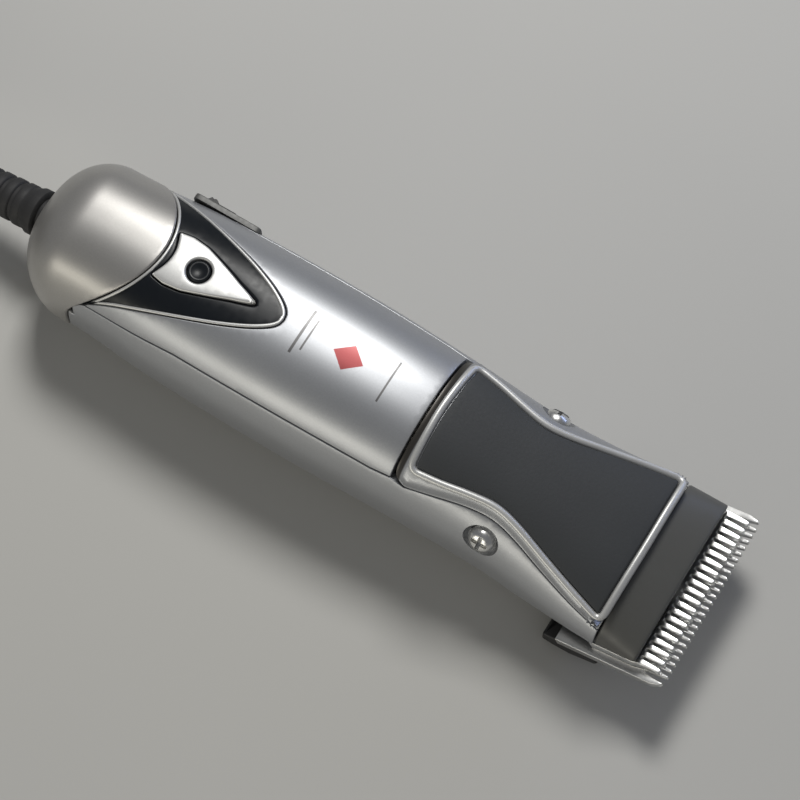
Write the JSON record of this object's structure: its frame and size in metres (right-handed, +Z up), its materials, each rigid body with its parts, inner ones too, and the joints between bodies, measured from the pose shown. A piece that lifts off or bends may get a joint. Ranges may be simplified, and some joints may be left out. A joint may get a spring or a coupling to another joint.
{
  "type": "hair clipper",
  "caption": "Corded hair clipper with a motor-driven cutter on a detachable hinged comb, silver casing, soft grip panel, push button and side switch.",
  "frame": {"origin": "middle of the clipper's length and width, on the surface that its flat underside rests on", "axes": "+X along the handle towards the blade's teeth, +Y to the side of the slide switch, +Z up through the top cover"},
  "size_m": [0.3611, 0.0726, 0.0441],
  "materials": {
    "silver_shell": "satin silver paint with a fine metallic flake",
    "tail_silver": "satin silver paint",
    "nose_grey": "satin dark grey moulding",
    "gloss_black": "polished black moulding",
    "bright_silver": "bright silver plating",
    "soft_panel": "matt soft-touch coating",
    "ground_steel": "ground and polished",
    "dark_steel": "plain stamped steel",
    "black_plastic": "fine moulded texture",
    "white_nylon": "natural nylon",
    "ferrite": "sintered",
    "bronze": "turned",
    "copper": "wound copper",
    "green_board": "solder mask",
    "orange_film": "dipped",
    "lead_insulation": "insulated wire",
    "black_rubber": "moulded flexible rubber"
  },
  "bodies": {
    "handle": {"lower_casing": "silver_shell", "upper_casing": "silver_shell", "tail_cap": "tail_silver", "front_hood": "silver_shell", "nose_cover": "nose_grey", "tail_trim": "gloss_black", "button_badge": "bright_silver", "hood_rim": "bright_silver", "hood_panel": "soft_panel", "hinge_bracket": "black_plastic", "hinge_pin": "ground_steel", "button_spring": "ground_steel", "button_switch": "black_plastic", "switch_plate": "nose_grey", "switch_body": "black_plastic", "latch_spring": "ground_steel", "motor_can": "dark_steel", "motor_end_cap": "white_nylon", "upper_magnet": "ferrite", "lower_magnet": "ferrite", "far_brush": "ferrite", "near_brush": "ferrite", "front_bearing": "bronze", "gear_frame": "white_nylon", "gear_axle": "ground_steel", "lever_bracket": "white_nylon", "circuit_board": "green_board", "film_capacitor": "orange_film", "motor_lead": "lead_insulation", "side_screw_far": "ground_steel", "side_screw_near": "ground_steel", "casing_screw_1": "dark_steel", "casing_screw_2": "dark_steel", "strain_relief": "black_rubber", "cord_lead": "black_rubber", "cord_coil": "black_rubber", "cord_tie": "black_plastic", "plug_body": "black_plastic", "plug_pin_far": "ground_steel", "plug_pin_near": "ground_steel"},
    "armature": {"motor_shaft": "ground_steel", "armature_core": "copper", "commutator": "copper", "cooling_fan": "white_nylon", "motor_pinion": "bronze"},
    "reduction": {"drive_gear": "white_nylon", "crank_pin": "ground_steel"},
    "lever": {"drive_lever": "white_nylon"},
    "hinge": {"blade_hinge": "dark_steel", "hinge_cover": "black_plastic"},
    "blade_set": {"comb_blade": "ground_steel", "blade_socket": "dark_steel", "blade_spring": "ground_steel", "blade_screw_far": "dark_steel", "blade_screw_near": "dark_steel"},
    "cutter": {"cutter_blade": "ground_steel", "cutter_guide": "black_plastic"},
    "push_button": {"power_button": "gloss_black"},
    "power_slide": {"switch_slider": "black_plastic"},
    "latch": {"latch_button": "black_plastic"}
  },
  "joints": [
    {"name": "motor_spin", "type": "hinge", "parent": "handle", "child": "armature", "pos_m": [-0.0148, 0, 0.017], "axis": [1, 0, 0], "continuous": true},
    {"name": "gear_spin", "type": "hinge", "parent": "handle", "child": "reduction", "pos_m": [0.0152, 0, 0.0296], "axis": [1, 0, 0], "continuous": true},
    {"name": "lever_rock", "type": "hinge", "parent": "handle", "child": "lever", "pos_m": [0.0532, 0, 0.025], "axis": [0, 0, 1], "range_deg": [-2.4, 2.4]},
    {"name": "hinge_swing", "type": "hinge", "parent": "handle", "child": "hinge", "pos_m": [0.0642, 0, 0.005], "axis": [0, 1, 0], "range_deg": [0, 45]},
    {"name": "blade_slide", "type": "slide", "parent": "hinge", "child": "blade_set", "axis": [0.9397, 0, 0.342], "range_m": [0, 0.012]},
    {"name": "cutter_slide", "type": "slide", "parent": "blade_set", "child": "cutter", "axis": [0, 1, 0], "range_m": [-0.00116, 0.00116]},
    {"name": "button_press", "type": "slide", "parent": "handle", "child": "push_button", "axis": [0, 0, -1], "range_m": [0, 0.0012], "stiffness_N_per_m": 800, "springref_m": -0.001, "deforming": ["button_spring"]},
    {"name": "switch_slide", "type": "slide", "parent": "handle", "child": "power_slide", "axis": [1, 0, 0], "range_m": [0, 0.005]},
    {"name": "latch_press", "type": "slide", "parent": "handle", "child": "latch", "axis": [0, 0, 1], "range_m": [0, 0.0013], "stiffness_N_per_m": 800, "springref_m": -0.001, "deforming": ["latch_spring"]}
  ],
  "couplings": [
    {"joint": "gear_spin", "follows": "motor_spin", "ratio": -0.5},
    {"joint": "lever_rock", "follows": "cutter_slide", "rad_per_m": 35.842}
  ]
}
